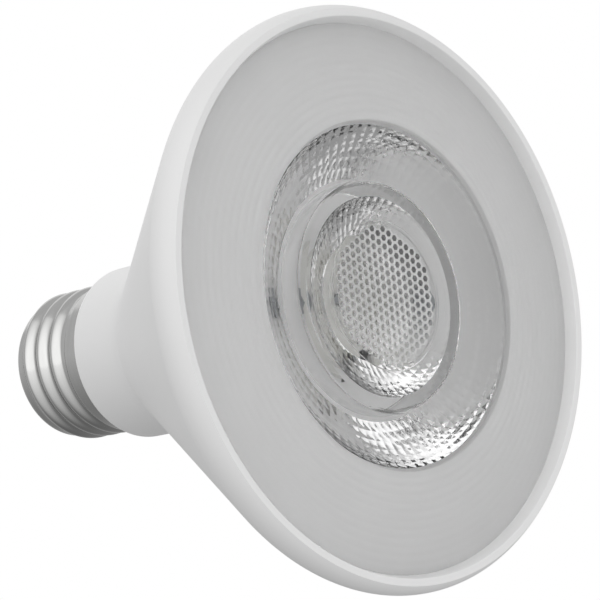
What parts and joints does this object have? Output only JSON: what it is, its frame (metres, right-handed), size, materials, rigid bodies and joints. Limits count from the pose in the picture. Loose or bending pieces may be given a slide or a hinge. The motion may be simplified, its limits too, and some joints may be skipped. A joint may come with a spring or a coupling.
{
  "type": "par spotlight bulb",
  "caption": "Reflector lamp with a conical white body, a faceted clear optic with a honeycomb middle in a frosted front, and a metal screw base.",
  "frame": {"origin": "middle of the bottom, on the lamp's axis in the plane of the rim's front land", "axes": "+Z along the lamp's axis from the front rim to the base contact; +X and +Y across, with the driver board's face to +Y"},
  "size_m": [0.095, 0.095, 0.0865],
  "materials": {
    "white_plastic": "satin, moulded",
    "lens_plastic": "clear optic, frosted outer ring",
    "plated_metal": "nickel plated, drawn",
    "insulator_black": "glossy black",
    "contact_metal": "tinned",
    "pressed_aluminium": "plain pressed",
    "white_mask": "white solder mask",
    "led_body": "matt white",
    "phosphor": "matt yellow",
    "screw_steel": "zinc plated",
    "green_mask": "green solder mask",
    "bobbin_plastic": "matt black",
    "winding_tape": "yellow tape",
    "ferrite": "matt dark grey",
    "capacitor_sleeve": "glossy shrunk sleeve",
    "film_case": "glossy red brown",
    "fuse_case": "matt brown",
    "varistor_coat": "glossy blue",
    "black_epoxy": "matt black",
    "resistor_ceramic": "matt black",
    "wire_white": "insulated",
    "wire_black": "insulated",
    "wire_grey": "insulated"
  },
  "bodies": {
    "root": {"housing": "white_plastic", "front_lens": "lens_plastic", "screw_shell": "plated_metal", "base_insulator": "insulator_black", "centre_contact": "contact_metal", "heat_sink": "pressed_aluminium", "led_board": "white_mask", "led_packages": "led_body", "led_phosphors": "phosphor", "board_screws": "screw_steel", "driver_board": "green_mask", "transformer_bobbin": "bobbin_plastic", "transformer_winding": "winding_tape", "transformer_core": "ferrite", "output_capacitor": "capacitor_sleeve", "input_capacitor": "capacitor_sleeve", "film_capacitor": "film_case", "choke": "ferrite", "fuse": "fuse_case", "surge_varistor": "varistor_coat", "bridge_rectifier": "black_epoxy", "control_chip": "black_epoxy", "output_diode": "black_epoxy", "chip_resistors": "resistor_ceramic", "live_wire": "wire_white", "neutral_wire": "wire_black", "led_wire_positive": "wire_grey", "led_wire_negative": "wire_black"}
  },
  "joints": []
}
